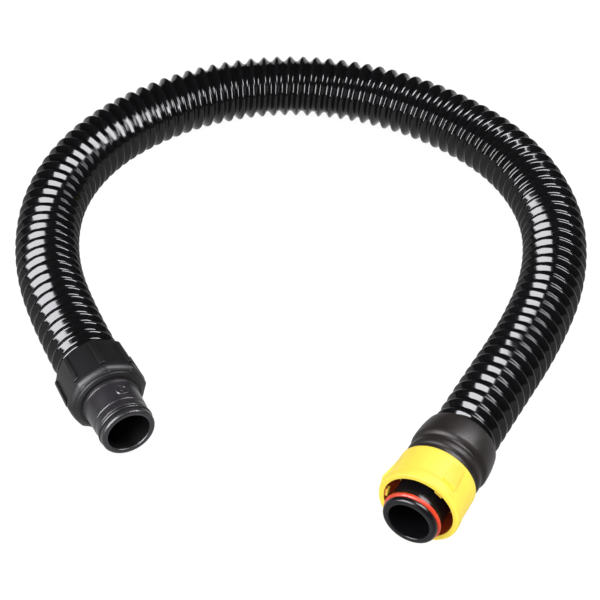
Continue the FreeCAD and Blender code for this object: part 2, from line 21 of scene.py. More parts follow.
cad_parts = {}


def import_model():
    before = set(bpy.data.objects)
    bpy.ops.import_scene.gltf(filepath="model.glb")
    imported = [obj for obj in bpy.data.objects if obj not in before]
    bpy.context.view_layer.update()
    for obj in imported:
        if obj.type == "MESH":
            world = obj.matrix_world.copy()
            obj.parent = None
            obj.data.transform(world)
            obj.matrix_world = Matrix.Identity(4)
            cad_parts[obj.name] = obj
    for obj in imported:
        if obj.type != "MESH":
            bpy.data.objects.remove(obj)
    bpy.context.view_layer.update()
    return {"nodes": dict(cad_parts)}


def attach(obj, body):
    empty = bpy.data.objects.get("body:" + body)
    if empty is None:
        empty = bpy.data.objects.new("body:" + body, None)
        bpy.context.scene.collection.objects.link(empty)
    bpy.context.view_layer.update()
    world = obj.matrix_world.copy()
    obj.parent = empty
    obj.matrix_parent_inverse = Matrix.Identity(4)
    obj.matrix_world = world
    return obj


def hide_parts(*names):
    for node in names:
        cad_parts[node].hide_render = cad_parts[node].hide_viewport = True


LOG = logging.getLogger("breathing_hose")
MM = 0.001
UP = Vector((0.0, 0.0, 1.0))
WHITE = (1.0, 1.0, 1.0, 1.0)

# The numbers that a mesh carries at its points, for its finish.
CREST = "crest"
# The mark for inner walls that get a painted shade colour.
PAINTED_SHADE = "painted_shade"

# Sockets of the Mix node for colours, whose names aren't unique.
MIX_SHARE = 0
MIX_FIRST = 6
MIX_SECOND = 7
MIX_RESULT = 2

NOISE_MIDDLE = 0.5
GRAIN_DETAIL = 2.0
CORNER_STEPS = 5
PAD_EDGE_STEPS = 3
SEAL_SIDES = 20
SEAL_STEPS = 96
MERGE_DISTANCE = 1e-4
ORDER_DIGITS = 6

Colour = tuple[float, float, float]
Corner = tuple[float, float, float]
FaceTest = Callable[[bmesh.types.BMFace], bool]


class Slot(Enum):
    """The material slots of the record, one for each finish."""

    HOSE = "hose_rubber"
    SLEEVE = "sleeve_plastic"
    COLLAR = "collar_plastic"
    SPIGOT = "spigot_plastic"
    CONNECTOR = "connector_plastic"
    WASHER = "washer_plastic"
    BLACK_SEAL = "black_seal"
    RED_SEAL = "red_seal"
    CUFF = "cuff_rubber"
    CLAMP = "clamp_steel"
    RETAINER = "retainer_steel"
    COUPLING = "coupling_yellow"


class Body(Enum):
    """The bodies that the pieces ride on."""

    HOSE = "hose_assembly"
    SPIGOT = "swivel_spigot"
    COUPLING = "coupling"


# ------------------------------------------------------------------ shader expressions


class Value:
    """A number in a material that may change over the surface."""

    def __init__(self, book: NodeBook, socket: bpy.types.NodeSocket) -> None:
        """Keeps the socket that gives the number and the book that it belongs to."""
        self.book = book
        self.socket = socket

    def _maths(self, operation: str, first: Value | float, second: Value | float) -> Value:
        """One Math node on two operands."""
        node = self.book.node("ShaderNodeMath", {"operation": operation}, {0: first, 1: second})
        return Value(self.book, node.outputs[0])

    def __add__(self, other: Value | float) -> Value:
        """self + other."""
        return self._maths("ADD", self, other)

    def __radd__(self, other: float) -> Value:
        """other + self."""
        return self._maths("ADD", other, self)

    def __sub__(self, other: Value | float) -> Value:
        """self - other."""
        return self._maths("SUBTRACT", self, other)

    def __rsub__(self, other: float) -> Value:
        """other - self."""
        return self._maths("SUBTRACT", other, self)

    def __mul__(self, other: Value | float) -> Value:
        """self * other."""
        return self._maths("MULTIPLY", self, other)

    def __rmul__(self, other: float) -> Value:
        """other * self."""
        return self._maths("MULTIPLY", other, self)

    def __pow__(self, other: Value | float) -> Value:
        """self ** other."""
        return self._maths("POWER", self, other)

    def clipped(self) -> Value:
        """The number kept between 0 and 1."""
        node = self.book.node("ShaderNodeClamp", {}, {"Value": self})
        return Value(self.book, node.outputs[0])


class NodeBook:
    """The node tree of one material, with one method that adds any node."""

    def __init__(self, name: str) -> None:
        """Starts an empty node tree in a new material.

        Args:
            name: The material's name.
        """
        self.material = bpy.data.materials.new(name)
        self.material.use_nodes = True
        self.tree = self.material.node_tree
        self.tree.nodes.clear()

    def node(
        self, kind: str, settings: dict[str, object], sockets: dict[int | str, object],
    ) -> bpy.types.Node:
        """Adds a node.

        Args:
            kind: The node's type.
            settings: Its settings, such as an operation, which are set first.
            sockets: A value or a link for each of its input sockets.

        Returns:
            The node.
        """
        made = self.tree.nodes.new(kind)
        for name, value in settings.items():
            setattr(made, name, value)
        for name, value in sockets.items():
            self._feed(made.inputs[name], value)
        return made

    def _feed(self, socket: bpy.types.NodeSocket, value: object) -> None:
        """Links or sets an input.

        Args:
            socket: The input.
            value: A Value or a socket to link to it, or a plain value.
        """
        if isinstance(value, Value):
            self.tree.links.new(value.socket, socket)
        elif isinstance(value, bpy.types.NodeSocket):
            self.tree.links.new(value, socket)
        else:
            socket.default_value = value

    def _place(self) -> bpy.types.NodeSocket:
        """Object coordinates, in metres."""
        return self.node("ShaderNodeTexCoord", {}, {}).outputs["Object"]

    def noise(self, size: float, detail: float = 3.0, roughness: float = 0.55) -> Value:
        """Noise from 0 to 1.

        Args:
            size: The rough width of its spots, in metres.
            detail: The number of finer layers.
            roughness: The strength of the finer layers.

        Returns:
            The noise.
        """
        made = self.node(
            "ShaderNodeTexNoise",
            {},
            {"Vector": self._place(), "Scale": 1.0 / size, "Detail": detail, "Roughness": roughness},
        )
        return Value(self, made.outputs[0])

    def specks(self, size: float) -> Value:
        """The distance to the nearest of scattered points, for dust."""
        made = self.node("ShaderNodeTexVoronoi", {}, {"Vector": self._place(), "Scale": 1.0 / size})
        return Value(self, made.outputs["Distance"])

    def attribute(self, name: str) -> Value:
        """A number that the mesh itself carries at each point."""
        made = self.node("ShaderNodeAttribute", {"attribute_name": name}, {})
        return Value(self, made.outputs["Fac"])

    def mix(
        self, share: Value, first: Colour | bpy.types.NodeSocket, second: Colour,
    ) -> bpy.types.NodeSocket:
        """A colour between two.

        Args:
            share: The second colour's share, from 0 to 1.
            first: The colour at 0, which may come from another node.
            second: The colour at 1.

        Returns:
            The mixed colour.
        """
        start = first if isinstance(first, bpy.types.NodeSocket) else (*first, 1.0)
        inputs = {MIX_SHARE: share, MIX_FIRST: start, MIX_SECOND: (*second, 1.0)}
        return self.node("ShaderNodeMix", {"data_type": "RGBA"}, inputs).outputs[MIX_RESULT]

    def bump(self, height: Value, depth: float) -> bpy.types.NodeSocket:
        """A normal that is raised by height times depth metres."""
        node = self.node("ShaderNodeBump", {}, {"Height": height, "Distance": depth, "Strength": 1.0})
        return node.outputs[0]

    def finish(self, plain: dict[str, object], varied: dict[str, object]) -> bpy.types.Material:
        """Ends the tree in a Principled shader.

        Args:
            plain: Values for sockets that are the same all over.
            varied: Links for sockets that change over the surface.

        Returns:
            The material.
        """
        shader = self.node("ShaderNodeBsdfPrincipled", {}, {**plain, **varied})
        self.node("ShaderNodeOutputMaterial", {}, {"Surface": shader.outputs[0]})
        return self.material


# ---------------------------------------------------------------------------- finishes


@dataclass(frozen=True)
class Dust:
    """Fine pale specks that settle in loose patches."""

    speck_size: float = 2.6
    speck_sharpness: float = 9.0
    patch_size: float = 14.0
    patch_contrast: float = 3.0
    cover: float = 0.5
    dulling: float = 0.25
    lightening: float = 1.6
    paleness: float = 0.03

    def amount(self, book: NodeBook) -> Value:
        """The dust's amount at each point, from 0 to 1."""
        specks = (1.0 - book.specks(self.speck_size * MM) * self.speck_sharpness).clipped()
        return specks * book.noise(self.patch_size * MM) ** self.patch_contrast

    def colour(self, ground: Colour) -> Colour:
        """The dust's colour on a surface of another colour."""
        return tuple(min(1.0, channel * self.lightening + self.paleness) for channel in ground)


DUST = Dust()


@dataclass(frozen=True, kw_only=True)
class Finish:
    """A moulded plastic or rubber: a colour with soft blotches, a grain and a little dust."""

    slot: Slot
    colour: Colour
    blotch_and_valley_shade: Colour
    roughness: float
    grain_size: float
    grain_depth: float
    roughness_spread: float = 0.1
    blotch_size: float = 9.0
    specular: float = 0.5

    def material(self) -> bpy.types.Material:
        """Builds the finish.

        Returns:
            The material.
        """
        book = NodeBook(self.slot.value)
        cloud = book.noise(self.blotch_size * MM)
        grain = book.noise(self.grain_size * MM, detail=GRAIN_DETAIL)
        dust = DUST.amount(book)
        clean = self.body_colour(book, cloud)
        return book.finish(
            {"Specular IOR Level": self.specular},
            {
                "Base Color": book.mix((dust * DUST.cover).clipped(), clean, DUST.colour(self.blotch_and_valley_shade)),
                "Roughness": (self.drifting_roughness(cloud) + dust * DUST.dulling).clipped(),
                "Normal": book.bump(grain, self.grain_depth * MM),
            },
        )

    def body_colour(self, book: NodeBook, cloud: Value) -> bpy.types.NodeSocket:
        """The clean colour, which drifts towards the blotch colour with a soft cloud."""
        return book.mix(cloud, self.colour, self.blotch_and_valley_shade)

    def drifting_roughness(self, noise: Value) -> Value:
        """The roughness, which drifts both ways with noise."""
        return self.roughness + (noise - NOISE_MIDDLE) * self.roughness_spread


@dataclass(frozen=True, kw_only=True)
class PaintedShadeFinish(Finish):
    """A plastic whose inner wall has a deeper colour painted on it as shade."""

    painted_shade: Colour

    def body_colour(self, book: NodeBook, cloud: Value) -> bpy.types.NodeSocket:
        """The colour outside, and the painted shade's colour where the mesh marks the inner wall."""
        return book.mix(book.attribute(PAINTED_SHADE), super().body_colour(book, cloud), self.painted_shade)


@dataclass(frozen=True, kw_only=True)
class HoseFinish(Finish):
    """The glossy wall of the hose, painted darker in the valleys as shade, with a duller gloss there."""

    valley_dulling: float = 0.05

    def material(self) -> bpy.types.Material:
        """Builds the finish from the crests that the hose's mesh marks.

        Returns:
            The material.
        """
        book = NodeBook(self.slot.value)
        crest = book.attribute(CREST)
        cloud = book.noise(self.blotch_size * MM)
        ripple = book.noise(self.grain_size * MM, detail=GRAIN_DETAIL)
        rough = self.drifting_roughness(cloud) + (1.0 - crest) * self.valley_dulling
        return book.finish(
            {"Specular IOR Level": self.specular},
            {
                # The valleys take the darker second colour as painted shade; the crests keep the body
                # colour.
                "Base Color": book.mix(crest, self.blotch_and_valley_shade, self.colour),
                "Roughness": rough.clipped(),
                "Normal": book.bump(ripple, self.grain_depth * MM),
            },
        )


@dataclass(frozen=True, kw_only=True)
class SteelFinish(Finish):
    """Rolled spring steel with fine scratches."""

    scratch_detail: float = 6.0
    scratch_roughness: float = 0.8

    def material(self) -> bpy.types.Material:
        """Builds the finish as a metal.

        Returns:
            The material.
        """
        book = NodeBook(self.slot.value)
        cloud = book.noise(self.blotch_size * MM)
        scratch = book.noise(self.grain_size * MM, self.scratch_detail, self.scratch_roughness)
        return book.finish(
            {"Metallic": 1.0},
            {
                "Base Color": self.body_colour(book, cloud),
                "Roughness": self.drifting_roughness(scratch).clipped(),
                "Normal": book.bump(scratch, self.grain_depth * MM),
            },
        )


FINISHES: tuple[Finish, ...] = (
    # The hose's second colour is a painted shade for its valleys.
    HoseFinish(
        slot=Slot.HOSE, colour=(0.004, 0.004, 0.0045), blotch_and_valley_shade=(0.0025, 0.0025, 0.0025),
        roughness=0.085, roughness_spread=0.03, grain_size=1.6, grain_depth=0.006, specular=0.2,
    ),
    Finish(
        slot=Slot.SLEEVE, colour=(0.008, 0.008, 0.009), blotch_and_valley_shade=(0.012, 0.012, 0.013),
        roughness=0.5, grain_size=0.3, grain_depth=0.008, specular=0.2,
    ),
    Finish(
        slot=Slot.COLLAR, colour=(0.0035, 0.0035, 0.0038), blotch_and_valley_shade=(0.0055, 0.0053, 0.0055),
        roughness=0.44, grain_size=0.28, grain_depth=0.012, specular=0.17,
    ),
    # The spigot's bore gets a near-black painted shade.
    PaintedShadeFinish(
        slot=Slot.SPIGOT, colour=(0.012, 0.0108, 0.0125), blotch_and_valley_shade=(0.016, 0.0147, 0.0168),
        painted_shade=(0.0015, 0.0013, 0.0014), roughness=0.34, grain_size=0.3, grain_depth=0.01,
        specular=0.26,
    ),
    Finish(
        slot=Slot.CONNECTOR, colour=(0.003, 0.0031, 0.0038), blotch_and_valley_shade=(0.0045, 0.0045, 0.0055),
        roughness=0.25, roughness_spread=0.08, grain_size=0.4, grain_depth=0.006, specular=0.14,
    ),
    Finish(
        slot=Slot.WASHER, colour=(0.62, 0.6, 0.54), blotch_and_valley_shade=(0.7, 0.68, 0.62),
        roughness=0.45, grain_size=0.3, grain_depth=0.005,
    ),
    Finish(
        slot=Slot.BLACK_SEAL, colour=(0.006, 0.006, 0.006), blotch_and_valley_shade=(0.009, 0.009, 0.009),
        roughness=0.35, grain_size=0.4, grain_depth=0.004, specular=0.2,
    ),
    Finish(
        slot=Slot.RED_SEAL, colour=(0.62, 0.045, 0.014), blotch_and_valley_shade=(0.7, 0.055, 0.018),
        roughness=0.36, grain_size=0.5, grain_depth=0.004, specular=0.2,
    ),
    Finish(
        slot=Slot.CUFF, colour=(0.004, 0.003, 0.0028), blotch_and_valley_shade=(0.019, 0.015, 0.0132), blotch_size=1.3,
        roughness=0.44, roughness_spread=0.2, grain_size=0.35, grain_depth=0.04, specular=0.14,
    ),
    SteelFinish(
        slot=Slot.CLAMP, colour=(0.55, 0.55, 0.56), blotch_and_valley_shade=(0.62, 0.62, 0.63),
        roughness=0.3, roughness_spread=0.2, grain_size=0.3, grain_depth=0.004,
    ),
    SteelFinish(
        slot=Slot.RETAINER, colour=(0.5, 0.5, 0.51), blotch_and_valley_shade=(0.58, 0.58, 0.59),
        roughness=0.28, roughness_spread=0.2, grain_size=0.3, grain_depth=0.004,
    ),
    # The coupling's inner wall gets a deep orange-red painted shade.
    PaintedShadeFinish(
        slot=Slot.COUPLING, colour=(0.9, 0.71, 0.08), blotch_and_valley_shade=(0.94, 0.75, 0.09),
        painted_shade=(0.5, 0.06, 0.012), roughness=0.5, grain_size=0.45, grain_depth=0.006,
        specular=0.08,
    ),
)


class Palette:
    """All finishes as materials, made once and looked up by slot."""

    def __init__(self) -> None:
        """Builds every finish."""
        self.materials = {finish.slot: finish.material() for finish in FINISHES}

    def dress(self, piece: bpy.types.Object, slot: Slot) -> None:
        """Puts a finish on a new piece and names its slot.

        Args:
            piece: The piece.
            slot: Its finish.
        """
        piece.data.materials.clear()
        piece.data.materials.append(self.materials[slot])

    def dress_node(self, node: bpy.types.Object, slot: Slot) -> None:
        """Puts a finish on a carried-over solid by its material slots."""
        for holder in node.material_slots:
            holder.material = self.materials[slot]


# ------------------------------------------------------------------------- mesh helpers


def settle(mesh: bmesh.types.BMesh) -> None:
    """Puts a mesh's points and faces in an order that is the same on every run.

    Args:
        mesh: The mesh, in metres.
    """
    points = sorted(mesh.verts, key=lambda point: [round(along, ORDER_DIGITS) for along in point.co])
    for number, point in enumerate(points):
        point.index = number
    mesh.verts.sort()
    faces = sorted(mesh.faces, key=lambda face: sorted(point.index for point in face.verts))
    for number, face in enumerate(faces):
        face.index = number
    mesh.faces.sort()


def new_piece(name: str, mesh: bmesh.types.BMesh, smooth_angle: float = 35.0) -> bpy.types.Object:
    """Turns a finished bmesh into an object at the origin.

    Args:
        name: The piece's name.
        mesh: Its mesh, in metres and in place. It is freed.
        smooth_angle: Edges sharper than this many degrees stay sharp.

    Returns:
        The piece.
    """
    data = bpy.data.meshes.new(name)
    settle(mesh)
    mesh.to_mesh(data)
    mesh.free()
    data.shade_smooth()
    data.set_sharp_from_angle(angle=math.radians(smooth_angle))
    piece = bpy.data.objects.new(name, data)
    bpy.context.scene.collection.objects.link(piece)
    return piece


def only(kind: type, items: Sequence[object]) -> list:
    """The items of one kind, such as the edges of an operator's result."""
    return [item for item in items if isinstance(item, kind)]


def clamped(number: float) -> float:
    """A number kept between 0 and 1."""
    return max(0.0, min(1.0, number))


def rounded_outline(mesh: bmesh.types.BMesh, corners: Sequence[Corner]) -> None:
    """Draws a closed outline in the plane of the axis, with its corners rounded.

    Args:
        mesh: The mesh to draw in.
        corners: Each corner's station along X, its radius, and its rounding.
    """
    points = [mesh.verts.new((station, radius, 0.0)) for station, radius, _ in corners]
    for first, second in zip(points, points[1:] + points[:1]):
        mesh.edges.new((first, second))
    for point, (_, _, rounding) in zip(points, corners):
        if rounding > 0.0:
            bmesh.ops.bevel(
                mesh, geom=[point], offset=rounding, offset_type="OFFSET", affect="VERTICES",
                segments=CORNER_STEPS, profile=0.5, material=-1,
            )


def spun(mesh: bmesh.types.BMesh, steps: int) -> bmesh.types.BMesh:
    """Spins a closed outline once about X.

    Args:
        mesh: The outline, which becomes the solid.
        steps: The number of flats around.

    Returns:
        The same mesh.
    """
    bmesh.ops.spin(
        mesh, geom=list(mesh.verts) + list(mesh.edges), cent=(0.0, 0.0, 0.0),
        axis=(1.0, 0.0, 0.0), angle=math.tau, steps=steps, use_merge=True,
    )
    bmesh.ops.remove_doubles(mesh, verts=mesh.verts, dist=MERGE_DISTANCE)
    bmesh.ops.recalc_face_normals(mesh, faces=mesh.faces)
    return mesh


def turned(corners: Sequence[Corner], steps: int) -> bmesh.types.BMesh:
    """A solid of revolution about X from a closed outline.

    Args:
        corners: The outline's corners, as rounded_outline takes them.
        steps: The number of flats around.

    Returns:
        The mesh, in millimetres.
    """
    mesh = bmesh.new()
    rounded_outline(mesh, corners)
    return spun(mesh, steps)


def o_ring(station: float, radius: float, section: float) -> bmesh.types.BMesh:
    """A round sealing ring about X.

    Args:
        station: Its place along X.
        radius: From the axis to the middle of its section.
        section: Its section's radius.

    Returns:
        The mesh, in millimetres.
    """
    mesh = bmesh.new()
    bmesh.ops.create_circle(mesh, segments=SEAL_SIDES, radius=section)
    bmesh.ops.translate(mesh, verts=mesh.verts, vec=(station, radius, 0.0))
    return spun(mesh, SEAL_STEPS)


def around(point: Vector) -> float:
    """A point's angle about X, in degrees from local Y towards local Z."""
    return math.degrees(math.atan2(point.z, point.y))


def off_axis(point: Vector) -> float:
    """A point's distance from the X axis."""
    return math.hypot(point.y, point.z)


def apart(angle: float, middle: float) -> float:
    """How far an angle lies from another, in degrees from 0 to 180."""
    return abs((angle - middle + 180.0) % 360.0 - 180.0)


@dataclass(frozen=True)
class Zone:
    """A zone of a turned solid's wall: between two stations and between two radii."""

    start: float
    end: float
    inner: float = 0.0
    outer: float = math.inf

    def holds(self, point: Vector) -> bool:
        """Whether a point lies in the zone."""
        return self.start < point.x < self.end and self.inner < off_axis(point) < self.outer

    def patch(self, middle: float, half_angle: float) -> FaceTest:
        """Picks the zone's faces near an angle.

        Args:
            middle: The angle, in degrees.
            half_angle: How far the patch goes to each side of it.

        Returns:
            A test that says whether a face is in the patch.
        """
        def chosen(face: bmesh.types.BMFace) -> bool:
            """Whether the middle of a face lies in the patch."""
            centre = face.calc_center_median()
            return self.holds(centre) and apart(around(centre), middle) < half_angle

        return chosen

    def mark_painted_shade(self, mesh: bmesh.types.BMesh) -> None:
        """Marks the zone's points, for a finish that paints shade on them.

        Args:
            mesh: The turned solid.
        """
        painted_shade = mesh.verts.layers.float.new(PAINTED_SHADE)
        for point in mesh.verts:
            point[painted_shade] = float(self.holds(point.co))


def raised(
    mesh: bmesh.types.BMesh,
    chosen: FaceTest,
    height: Callable[[Vector], float],
    rounding: float = 0.0,
) -> None:
    """Pulls chosen faces of a turned solid out from the axis as one raised pad.

    Args:
        mesh: The turned solid.
        chosen: Says which faces the pad starts from.
        height: The pad's height above the surface at a point; it may be negative.
        rounding: The rounding of the pad's top edges.
    """
    base = [face for face in mesh.faces if chosen(face)]
    made = bmesh.ops.extrude_face_region(mesh, geom=base)["geom"]
    bmesh.ops.delete(mesh, geom=base, context="FACES")
    top = only(bmesh.types.BMFace, made)
    for point in dict.fromkeys(point for face in top for point in face.verts):
        away = Vector((0.0, point.co.y, point.co.z)).normalized()
        point.co += away * height(point.co)
    if rounding > 0.0:
        inside = set(top)
        edges = dict.fromkeys(edge for face in top for edge in face.edges)
        rim = [edge for edge in edges if sum(face in inside for face in edge.link_faces) == 1]
        bmesh.ops.bevel(
            mesh, geom=rim, offset=rounding, offset_type="OFFSET", affect="EDGES",
            segments=PAD_EDGE_STEPS, profile=0.5, material=-1,
        )


# --------------------------------------------------------------------------------- hose


@dataclass
class Hose:
    """The corrugated hose: its route and its wall.

    The corrugation winds round like a screw thread. It has a narrow crest and a valley,
    joined by straight flanks with rounded corners. The bore is smooth, and the wall is
    squeezed in a little where the fittings hold it.
    """

    radius: float = 20.0
    bore: float = 15.8
    groove: float = 3.2
    pitch: float = 8.3
    steepness: float = 1.2
    crest_half: float = 0.65
    corner: float = 0.45
    turn_steps: int = 56
    weld_distance: float = 0.01
    bore_sides: int = 32
    bore_rings: int = 120
    squeeze: float = 0.35
    squeezed_length: float = 20.0
    squeeze_fade: float = 6.0
    smooth_angle: float = 60.0
    length_in_metres: float = 0.84
    route_detail: int = 24
    lying: float = 20.0
    fitting_height: float = 25.2
    route: tuple[tuple[float, float], ...] = (
        (-100, 47), (-127, 103), (-143, 167), (-139, 226), (-111, 279),
        (-60, 318), (-2, 335), (58, 328), (113, 300), (157, 256),
        (178, 200), (175, 143), (155, 89), (128, 36), (100, -17),
    )

    def points(self) -> list[Vector]:
        """Works out the route in space.

        Returns:
            Its points in metres: two at the fittings' height at each end, and the rest lying.
        """
        ends = [self.fitting_height] * 2
        heights = ends + [self.lying] * (len(self.route) - 2 * len(ends)) + ends
        return [Vector((x, y, z)) * MM for (x, y), z in zip(self.route, heights)]

    def line(self) -> list[Vector]:
        """Reads the hose's centreline from its smooth spline.

        Returns:
            The centreline's points, in metres.
        """
        curve = bpy.data.curves.new("hose_line", "CURVE")
        curve.dimensions = "3D"
        spline = curve.splines.new("NURBS")
        points = self.points()
        spline.points.add(len(points) - 1)
        for place, point in zip(spline.points, points):
            place.co = (*point, 1.0)
        spline.order_u = 3
        spline.use_endpoint_u = True
        spline.resolution_u = self.route_detail
        holder = bpy.data.objects.new("hose_line", curve)
        bpy.context.scene.collection.objects.link(holder)
        bpy.context.view_layer.update()
        ready = holder.evaluated_get(bpy.context.evaluated_depsgraph_get())
        mesh = bpy.data.meshes.new_from_object(ready)
        line = [vertex.co.copy() for vertex in mesh.vertices]
        bpy.data.objects.remove(holder)
        bpy.data.curves.remove(curve)
        bpy.data.meshes.remove(mesh)
        return line

    def _flank(self) -> float:
        """A flank's length along the hose."""
        return self.groove / self.steepness

    def _climb(self, distance: float) -> float:
        """A line that starts to rise at zero, with its corner rounded.

        Args:
            distance: How far along the line.

        Returns:
            Its height.
        """
        if distance < -self.corner:
            return 0.0
        if distance > self.corner:
            return distance
        return (distance + self.corner) ** 2 / (4.0 * self.corner)

    def radius_at(self, away: float) -> float:
        """The wall's outside radius at a distance along the hose from the crest's middle."""
        past = away - self.crest_half
        return self.radius - self.steepness * (self._climb(past) - self._climb(past - self._flank()))

    def _profile(self) -> list[tuple[float, float]]:
        """Works out one turn's profile.

        Returns:
            Its points, each a distance along the hose and a radius.
        """
        half = [0.0]
        for bend in (self.crest_half, self.crest_half + self._flank()):
            half += [bend - self.corner, bend, bend + self.corner]
        half.append(self.pitch / 2.0)
        away = [-distance for distance in reversed(half)] + half[1:]
        return [(distance, self.radius_at(abs(distance))) for distance in away]

    def straight_wall(self, length: float) -> bmesh.types.BMesh:
        """The hose's wall along Z, before it is bent.

        Args:
            length: Its length in millimetres.

        Returns:
            The mesh, closed at both ends, in millimetres.
        """
        mesh = bmesh.new()
        low_rim, high_rim = self._add_bore(mesh, length)
        self._add_turns(mesh, math.ceil(length / self.pitch) + 1)
        for station, towards, inner in ((0.0, -1.0, low_rim), (length, 1.0, high_rim)):
            outside = [face for face in mesh.faces if face.select]
            parts = dict.fromkeys(part for face in outside for part in (*face.verts, *face.edges, face))
            # Points almost on the cut move onto it, so that no sliver is left at the rim.
            cut = bmesh.ops.bisect_plane(
                mesh, geom=list(parts), plane_co=(0.0, 0.0, station), plane_no=(0.0, 0.0, towards),
                dist=self.weld_distance, use_snap_center=True, clear_outer=True,
            )["geom_cut"]
            bmesh.ops.bridge_loops(mesh, edges=only(bmesh.types.BMEdge, cut) + inner)
        return mesh

    def _add_bore(
        self, mesh: bmesh.types.BMesh, length: float,
    ) -> tuple[list[bmesh.types.BMEdge], list[bmesh.types.BMEdge]]:
        """Adds the smooth bore along Z.

        Args:
            mesh: The mesh to add it to.
            length: Its length in millimetres.

        Returns:
            The edges of its two rims.
        """
        circle = bmesh.ops.create_circle(mesh, segments=self.bore_sides, radius=self.bore)["verts"]
        first = list(dict.fromkeys(edge for vertex in circle for edge in vertex.link_edges))
        edges = first
        for _ in range(self.bore_rings):
            made = bmesh.ops.extrude_edge_only(mesh, edges=edges)["geom"]
            edges = [edge for edge in only(bmesh.types.BMEdge, made) if edge.is_boundary]
            moved = only(bmesh.types.BMVert, made)
            bmesh.ops.translate(mesh, verts=moved, vec=(0.0, 0.0, length / self.bore_rings))
        return first, edges

    def _add_turns(self, mesh: bmesh.types.BMesh, turns: int) -> None:
        """Adds the corrugation: one turn is spun, then doubled until there are enough.

        Args:
            mesh: The mesh to add it to. The new faces are selected.
            turns: The number of turns needed.
        """
        coil = bmesh.new()
        start = [coil.verts.new((off, 0.0, away - self.pitch / 2.0)) for away, off in self._profile()]
        profile = [coil.edges.new(pair) for pair in zip(start, start[1:])]
        bmesh.ops.spin(
            coil, geom=start + profile, cent=(0.0, 0.0, 0.0), axis=(0.0, 0.0, 1.0),
            dvec=(0.0, 0.0, self.pitch / self.turn_steps), angle=math.tau, steps=self.turn_steps,
        )
        made = 1
        while made < turns:
            whole = list(coil.verts) + list(coil.edges) + list(coil.faces)
            copy = bmesh.ops.duplicate(coil, geom=whole)["geom"]
            moved = only(bmesh.types.BMVert, copy)
            bmesh.ops.translate(coil, verts=moved, vec=(0.0, 0.0, made * self.pitch))
            made *= 2
        extra = [vertex for vertex in coil.verts if vertex.co.z > (turns + 1) * self.pitch]
        bmesh.ops.delete(coil, geom=extra, context="VERTS")
        bmesh.ops.remove_doubles(coil, verts=coil.verts, dist=self.weld_distance)
        for face in coil.faces:
            face.select = True
        data = bpy.data.meshes.new("hose_turns")
        coil.to_mesh(data)
        coil.free()
        mesh.from_mesh(data)
        bpy.data.meshes.remove(data)

    def bend(self, mesh: bmesh.types.BMesh, line: Sequence[Vector]) -> None:
        """Lays the straight wall along the centreline and marks its crests.

        Args:
            mesh: The straight wall, in millimetres, which becomes metres.
            line: The centreline, in metres.
        """
        stations = [0.0]
        for before, after in zip(line, line[1:]):
            stations.append(stations[-1] + (after - before).length)
        crest = mesh.verts.layers.float.new(CREST)
        for vertex in mesh.verts:
            x, y, z = vertex.co
            vertex[crest] = clamped((math.hypot(x, y) - self.radius + self.groove) / self.groove)
            near_end = min(z, stations[-1] / MM - z)
            held = clamped((self.squeezed_length - near_end) / self.squeeze_fade)
            scale = 1.0 - held * self.squeeze / self.radius
            index = min(max(bisect.bisect_right(stations, z * MM) - 1, 0), len(line) - 2)
            share = (z * MM - stations[index]) / (stations[index + 1] - stations[index])
            middle = line[index].lerp(line[index + 1], share)
            ahead = self._heading(line, index, share)
            right = ahead.cross(UP).normalized()
            above = right.cross(ahead)
            vertex.co = middle + (right * x + above * y) * (scale * MM)
        # The bend mirrors the wall, so its faces are turned outwards here.
        bmesh.ops.recalc_face_normals(mesh, faces=mesh.faces)

    @staticmethod
    def _heading(line: Sequence[Vector], index: int, share: float) -> Vector:
        """The centreline's direction, blended from one run into the next.

        Args:
            line: The centreline.
            index: The run.
            share: How far along the run, from 0 to 1.

        Returns:
            The direction, of length 1.
        """
        def run(number: int) -> Vector:
            """The direction of one run; past an end, that of the last one."""
            number = min(max(number, 0), len(line) - 2)
            return (line[number + 1] - line[number]).normalized()

        if share < 0.5:
            return run(index - 1).lerp(run(index), share + 0.5).normalized()
        return run(index).lerp(run(index + 1), share - 0.5).normalized()

    def build(self, palette: Palette) -> None:
        """Args:
            palette: The finishes.
        """
        line = self.line()
        length = sum((after - before).length for before, after in zip(line, line[1:]))
        mesh = self.straight_wall(length / MM)
        self.bend(mesh, line)
        piece = new_piece("hose_wall", mesh, self.smooth_angle)
        palette.dress(piece, Slot.HOSE)
        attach(piece, Body.HOSE.value)
        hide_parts("hose")
        LOG.info("hose wall: %d faces, centreline %.3f m", len(piece.data.polygons), length)


# ----------------------------------------------------------------------------- fittings


@dataclass
class Fitting:
    """Pieces made along local X, outwards from the hose's end face."""

    seat: Vector
    outward: Vector
    palette: Palette

    def frame(self) -> Matrix:
        """Works out where the fitting goes.

        Returns:
            The matrix from local millimetres to metres in place.
        """
        ahead = self.outward.normalized()
        side = UP.cross(ahead).normalized()
        turn = Matrix((ahead, side, UP)).transposed().to_4x4()
        return Matrix.Translation(self.seat) @ turn @ Matrix.Scale(MM, 4)

    def put(self, name: str, mesh: bmesh.types.BMesh, slot: Slot, body: Body, *nodes: str) -> None:
        """Places a mesh, dresses it and lets it stand for solids of the frame.

        Args:
            name: The piece's name.
            mesh: Its mesh in local millimetres.
            slot: Its finish.
            body: The body that it rides on.
            nodes: The solids that it stands for.
        """
        bmesh.ops.transform(mesh, matrix=self.frame(), verts=mesh.verts)
        piece = new_piece(name, mesh)
        self.palette.dress(piece, slot)
        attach(piece, body.value)
        if nodes:
            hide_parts(*nodes)
        LOG.info("%s: %d faces", name, len(piece.data.polygons))


